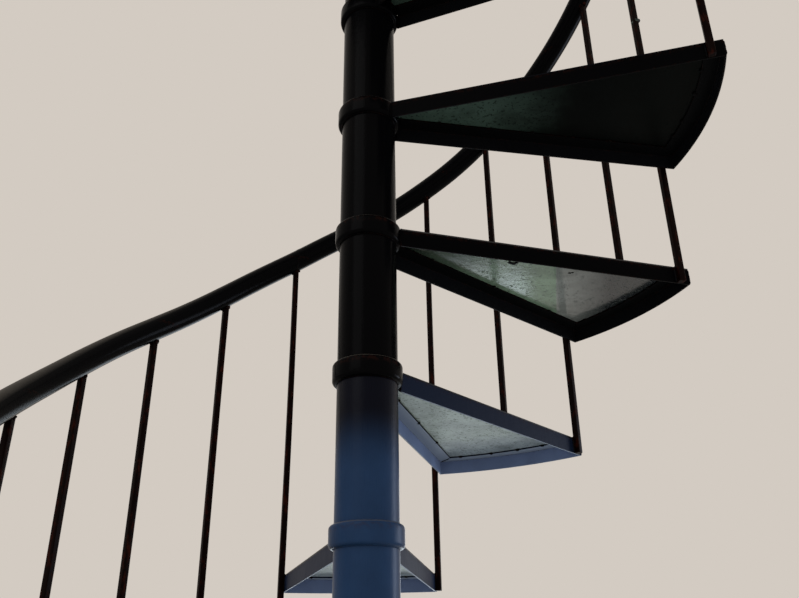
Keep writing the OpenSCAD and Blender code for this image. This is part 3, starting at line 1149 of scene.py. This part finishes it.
@dataclass
class Balustrade(Assembly):
    """The square bars, the two posts, and the welds that hold them."""

    missing_middle: int = 10
    foot_w: float = 90.0
    foot_t: float = 6.0
    foot_hole_pitch: float = 60.0
    end_gap: float = 18.0
    knot_height: float = 2803.0
    bolt: Fixing = Fixing(
        rod_d=10.0, across_flats=17.0, head_h=8.0, washer_d=20.0, washer_t=2.0, stands_out=6.0,
    )
    leans: tuple[Pair, ...] = ((4.0, 13.0), (4.5, 8.0), (5.0, 2.0))
    seed: int = 5
    tops: Shell = field(default_factory=Shell)
    feet: Shell = field(default_factory=Shell)

    def runs(self) -> dict[tuple[str, str], list[Bar]]:
        """Lists the bars by the frame's nodes.

        Returns:
            The bars of each run, under its piece's name and its node's.
        """
        stair, found = self.stair, {}
        for first in range(1, stair.treads, 3):
            bars = []
            for number in range(first, first + 3):
                if number != self.missing_middle:
                    bars.append(Bar((number - 0.5) * stair.turn, number * stair.rise))
                bars.append(Bar(number * stair.turn, number * stair.rise - stair.depth, joint=True))
            label = f"{first:02d}_to_{first + 2:02d}"
            found[f"bars_{label}", f"balusters_{label}"] = bars
        last = [Bar(stair.flight_turn + 16.0 * i, stair.landing_top) for i in range(1, 6)]
        found["bars_landing", "landing_balusters"] = last
        return found

    def build(self) -> None:
        """Makes the bars, the posts and their welds."""
        luck = random.Random(self.seed)
        for (name, node), bars in self.runs().items():
            shell = Shell()
            for bar in bars:
                self.add_bar(shell, bar, luck)
                self.add_top_weld(bar, luck)
                if bar.joint:
                    self.add_side_welds(bar)
                else:
                    self.add_foot_weld(bar)
            shell.piece(name, self.finishes[Finish.BAR], Slot.BAR, node)
        self.build_posts(luck)
        self.add_knot()
        self.tops.piece("bar_top_welds", self.finishes[Finish.BAR], Slot.BAR)
        self.feet.piece("bar_foot_welds", self.finishes[Finish.FRAME], Slot.BAR)

    def section(self, width: float, ease: float = 1.3) -> list[Pair]:
        """Outlines a square bar, with a radius at its corners.

        Args:
            width: The bar's width.
            ease: The radius of its corners.

        Returns:
            Outward and downstair distances of the outline's points.
        """
        spots = [(spot, math.pi / 2 * (i + step / 3)) for i, spot in enumerate(CORNERS) for step in range(4)]
        inset = width / 2 - ease
        return [(x * inset + ease * math.cos(t), y * inset + ease * math.sin(t)) for (x, y), t in spots]

    def add_bar(self, shell: Shell, bar: Bar, luck: random.Random) -> None:
        """Adds one bar, cut to the handrail's slope, and straight between the treads that it joins.

        Args:
            shell: Where its faces go.
            bar: The bar.
            luck: Source of the bar's slight bow.
        """
        stair, climbed, foot = self.stair, bar.climbed, bar.foot - bar.sunk
        slope, top, lean = stair.rail_rise(climbed), stair.rail_under(climbed) - 0.6, self.lean(climbed)
        free = foot + (stair.rise + stair.depth if bar.joint else 0.0)
        bow_out, bow_back = luck.uniform(-1.1, 1.1), luck.uniform(-1.1, 1.1)
        outline, span = self.section(bar.width), top - free - 20
        levels = [(0.0, 0.9), (0.9, 1.0)]
        if bar.joint:
            levels += [(stair.depth, 1.0), (free - foot, 1.0)]
        levels += [(free - foot + span * i / 8, 1.0) for i in range(1, 9)]
        rings = []
        for rise, scale in levels:
            part = min(max((foot + rise - free) / (span + 20), 0), 1)
            bend = math.sin(math.pi * part)
            out, down = stair.bar_r + bow_out * bend, bar.back + bow_back * bend - lean * part
            ring = ((out + x * scale, down + y * scale, foot + rise) for x, y in outline)
            rings.append(stair.path(climbed, *ring))
        cut = ((stair.bar_r + x, bar.back - lean + y, top - slope * (y - lean)) for x, y in outline)
        shell.loft(rings + [stair.path(climbed, *cut)])

    def lean(self, climbed: float) -> float:
        """How far up the stair a bar's top stands from its foot."""
        return dict(self.leans).get(climbed / self.stair.turn, 0.0)

    def add_top_weld(self, bar: Bar, luck: random.Random) -> None:
        """Adds the lumps of weld between a bar's top and the handrail.

        Args:
            bar: The bar.
            luck: Source of the lumps' sizes.
        """
        stair, climbed, half = self.stair, bar.climbed, bar.width / 2
        slope, top, lean = stair.rail_rise(climbed), stair.rail_under(climbed), self.lean(climbed)
        for x, y in ((-half, 0.0), (half, 0.0), (0.0, -half), (0.0, half)):
            size, height = luck.uniform(0.85, 1.15), top - 1.0 - slope * (y - lean)
            place = stair.spot(climbed, stair.bar_r + x * 0.95, bar.back - lean + y, height)
            self.tops.lump(place, Vector((half * 0.78, half * 0.78, 4.6)) * size, 0.5)

    def add_side_welds(self, bar: Bar) -> None:
        """Adds the upright welds between a bar and the two treads beside it.

        Args:
            bar: The bar.
        """
        stair, half, top = self.stair, bar.width / 2, bar.foot + self.stair.depth
        for high, hand in ((top, 1), (top + stair.rise, -1)):
            low, back = high - stair.depth + 2, hand * (half + 0.3)
            for x in (stair.bar_r - half - 0.6, stair.bar_r + half + 0.6):
                self.feet.bead(stair.upright(bar.climbed, x, back, low, high - 1.5), 2.1)
            level = ((stair.bar_r + x, hand * (half + 0.6), high + 0.7) for x in (-half, half))
            self.feet.bead(stair.path(bar.climbed, *level), 1.9)

    def add_foot_weld(self, bar: Bar) -> None:
        """Adds the loop of weld round a bar's foot.

        Args:
            bar: The bar.
        """
        outline, out = self.section(bar.width + 1.6, 2.6), self.stair.bar_r
        loop = self.stair.path(bar.climbed, *((out + x, bar.back + y, bar.foot + 1.0) for x, y in outline))
        self.feet.bead(loop, 2.4, closed=True)

    def add_knot(self) -> None:
        """Adds the knot of spare weld on the bar before the tenth tread."""
        shell = Shell()
        place = self.stair.spot(9 * self.stair.turn, self.stair.bar_r + 2, 0, self.knot_height)
        shell.lump(place, (8.5, 8.5, 7.0), 0.6)
        shell.piece("spare_weld_knot", self.finishes[Finish.WELD], Slot.BAR)

    def build_posts(self, luck: random.Random) -> None:
        """Makes the start post with its foot plate and bolts, and the end post.

        Args:
            luck: Source of the posts' slight bow.
        """
        stair, half, wide = self.stair, self.foot_w / 2, self.stair.post_w
        start = Bar(0.0, self.foot_t, width=wide, back=stair.start_back, sunk=1.0)
        end = Bar(stair.last, stair.landing_top, width=wide, back=stair.side_gap + self.end_gap + wide / 2)
        corner, edge = self.section(self.foot_w, 5.0), self.foot_t - 0.8
        plate = ((1 - 0.6 / half, 0.0), (1.0, 0.6), (1.0, edge), (1 - 0.8 / half, self.foot_t))
        for post, node in ((start, "start_post"), (end, "end_post")):
            shell = Shell()
            self.add_bar(shell, post, luck)
            if post is start:
                shell.loft([
                    stair.path(0.0, *((stair.bar_r + x * s, post.back + y * s, z) for x, y in corner))
                    for s, z in plate
                ])
            shell.piece(f"{node}_bar", self.finishes[Finish.BAR], Slot.BAR, node)
        for post in (start, end):
            self.add_top_weld(post, luck)
        for post in (start, end):
            self.add_foot_weld(post)
        low, high = stair.rise - stair.depth + 2, stair.rise - 1.5
        for x in (stair.bar_r - wide / 2 - 0.6, stair.bar_r + wide / 2 + 0.6):
            self.feet.bead(stair.upright(0.0, x, -stair.side_gap, low, high), 2.1)
        bolts = Shell()
        for x in (-1, 1):
            at = stair.spot(0.0, stair.bar_r + x * self.foot_hole_pitch / 2, start.back, self.foot_t) / MM
            self.bolt.add_to(bolts, Matrix.Translation(at) @ Matrix.Rotation(0.5 + x, 4, "Z"))
        bolts.piece("foot_anchors", self.finishes[Finish.ZINC])


@dataclass
class Handrail(Assembly):
    """The round handrail, in the same lengths as the frame's nodes."""

    sides: int = 48
    overhang: float = 40.0
    end_round: float = 3.0
    ridge: float = 0.45
    ridge_w: float = 2.6
    wander: float = 0.8

    @property
    def stops(self) -> list[float]:
        """Degrees climbed where the lengths of the handrail meet, and at its ends.

        Returns:
            The stops in the order of the climb.
        """
        stair = self.stair
        start = -stair.arc_turn(stair.start_back + stair.post_w / 2 + self.overhang)
        meets = [3 * n * stair.turn for n in range(1, 5)]
        return [start, *meets, stair.last - stair.arc_turn(stair.side_gap)]

    def build(self) -> None:
        """Makes each length of the handrail."""
        names = [f"handrail_{n:02d}_to_{n + 2:02d}" for n in range(1, self.stair.treads, 3)]
        for node, first, last in zip([*names, "landing_handrail"], self.stops, self.stops[1:]):
            self.build_length(node, first, last)

    def build_length(self, node: str, first: float, last: float) -> None:
        """Makes one length of pipe.

        Args:
            node: The frame's node that it stands for.
            first: Degrees climbed at its lower end.
            last: Degrees climbed at its upper end.
        """
        starts, ends = first == self.stops[0], last == self.stops[-1]
        count = math.ceil(last - first)
        near = [self.stair.arc_turn(length) for length in (0.0, 1.2, 2.6, 5.0)]
        stations = [first + (last - first) * i / count for i in range(1, count)]
        stations += [] if starts else [first + n for n in near]
        stations += [] if ends else [last - n for n in near]
        rings = self.end_rings(first, 1) if starts else []
        # Where two lengths are butted together, the ground weld is a low ridge.
        for climbed in sorted(stations):
            seam = min([abs(climbed - stop) for stop, own in ((first, starts), (last, ends)) if not own])
            ridge = self.ridge * math.exp(-((math.radians(seam) * self.stair.bar_r / self.ridge_w) ** 2))
            rings.append(self.ring(climbed, self.stair.rail_r + ridge))
        if ends:
            rings += reversed(self.end_rings(last, -1))
        shell = Shell()
        shell.loft(rings)
        shell.piece(f"{node}_pipe", self.finishes[Finish.BLACK], Slot.FRAME, node)

    def end_rings(self, climbed: float, hand: int) -> list[list[Vector]]:
        """Rounds off one end of the handrail.

        Args:
            climbed: Degrees climbed at the end's face.
            hand: 1 at the lower end, and -1 at the upper.

        Returns:
            The end's rings, from its face inwards.
        """
        stair, edge = self.stair, self.end_round
        bends = [(1 - math.cos(t), 1 - math.sin(t)) for t in (math.pi / 2 * i / 5 for i in range(6))]
        return [
            self.ring(climbed + hand * stair.arc_turn(edge * a), stair.rail_r - edge * b) for a, b in bends
        ]

    def ring(self, climbed: float, radius: float) -> list[Vector]:
        """One ring of the pipe, with the slight wander of bending by hand.

        Args:
            climbed: Degrees climbed at the ring.
            radius: The pipe's radius there.

        Returns:
            The ring's points in metres.
        """
        stair = self.stair
        drift = self.wander * noise.noise(Vector((climbed / 19, 3.1, 0)))
        lift = self.wander * 0.5 * noise.noise(Vector((climbed / 23, 0, 7.7)))
        stretch, middle = math.hypot(1, stair.rail_rise(climbed)), stair.rail_z(climbed) + lift
        turns = round_turns(self.sides, shift=0.5)
        out = stair.bar_r + drift
        points = ((out + radius * math.sin(t), 0, middle - radius * math.cos(t) * stretch) for t in turns)
        return stair.path(climbed, *points)


@dataclass(frozen=True)
class SoftLight:
    """An area light, with its places in metres and its power in watts."""

    name: str
    place: Triple
    target: Triple
    size: Pair
    power: float
    colour: str = "#ffffff"

    def hang(self) -> None:
        """Adds the light to the scene, facing its target."""
        lamp = bpy.data.lights.new(self.name, "AREA")
        lamp.shape = "RECTANGLE"
        lamp.size, lamp.size_y = self.size
        lamp.color = linear(self.colour)[:3]
        lamp.energy = self.power
        thing = bpy.data.objects.new(self.name, lamp)
        thing.location = self.place
        thing.rotation_euler = (Vector(self.target) - Vector(self.place)).to_track_quat("-Z", "Y").to_euler()
        thing.visible_camera = False
        bpy.context.scene.collection.objects.link(thing)


@dataclass
class Studio:
    """A pale floor, soft lights and the camera that looks up the stair."""

    backdrop: str = "#d3cbc2"
    ambient: float = 0.85
    floor_edge: float = 9.0
    floor_z: float = -0.001
    lights: tuple[SoftLight, ...] = (
        SoftLight("key", (-2.6, -3.2, 4.6), (0.0, 0.0, 2.0), (3.0, 3.0), 40.0),
        SoftLight("low_back", (0.19, 3.0, 1.70), (0.19, 0.0, 1.70), (1.40, 1.9), 26.0, "#dcebf7"),
        SoftLight("low_side", (3.2, 1.2, 2.0), (0.0, 0.0, 1.9), (1.1, 1.3), 34.0, "#dbe6fa"),
    )
    lens: float = 36.117
    camera_at: Triple = (0.013811, -1.181019, 1.5195)
    right: Triple = (0.99958338, -0.02595837, -0.01261879)
    up: Triple = (0.000288952, -0.428174816, 0.90369588)
    back: Triple = (-0.02886152, -0.90332303, -0.42798893)

    def build(self) -> None:
        """Sets up the floor, the world, the lights and the camera."""
        self.build_floor()
        self.build_world()
        for light in self.lights:
            light.hang()
        self.build_camera()
        bpy.context.scene.view_settings.view_transform = "Standard"

    def build_floor(self) -> None:
        """Lays the floor, which isn't part of the stair."""
        edge, mesh = self.floor_edge, bpy.data.meshes.new("floor")
        corners = [(x * edge, y * edge, self.floor_z) for x, y in CORNERS]
        mesh.from_pydata(corners, [], [(0, 1, 2, 3)])
        mesh.materials.append(PalePlaster().material())
        floor = bpy.data.objects.new("floor", mesh)
        bpy.context.scene.collection.objects.link(floor)

    def build_world(self) -> None:
        """Shows a pale backdrop to the eye and to the gloss, and a plain ambient to the paint."""
        world = bpy.data.worlds.new("studio")
        world.use_nodes = True
        world.node_tree.nodes.clear()
        add = partial(add_node, world.node_tree)
        rays = add("LightPath").node.outputs
        seen = add("Math MAXIMUM", rays["Is Camera Ray"], rays["Is Glossy Ray"])
        shown = add("Math MAXIMUM", seen, rays["Is Transmission Ray"])
        ambient = add("Background", "#ffffff", self.ambient)
        pale = add("Background", self.backdrop, 1.0)
        add("OutputWorld", add("MixShader", shown, ambient, pale))
        bpy.context.scene.world = world

    def build_camera(self) -> None:
        """Sets the camera where the photograph was taken."""
        lens = bpy.data.cameras.new("camera")
        lens.lens = self.lens
        lens.sensor_width = 36.0
        thing = bpy.data.objects.new("camera", lens)
        columns = Matrix((self.right, self.up, self.back)).transposed()
        thing.matrix_world = Matrix.Translation(self.camera_at) @ columns.to_4x4()
        bpy.context.scene.collection.objects.link(thing)
        bpy.context.scene.camera = thing


def main() -> None:
    """Builds the stair's pieces in order."""
    logging.basicConfig(level=logging.INFO, format="%(name)s: %(message)s")
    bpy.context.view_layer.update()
    stair, finishes = StairLayout(), Palette()
    kinds = (PoleAssembly, TreadFlight, Landing, Balustrade, Handrail)
    for part in (*(kind(stair, finishes) for kind in kinds), Studio()):
        LOG.info("building %s", type(part).__name__)
        part.build()
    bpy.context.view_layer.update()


if __name__ == "__main__":
    main()
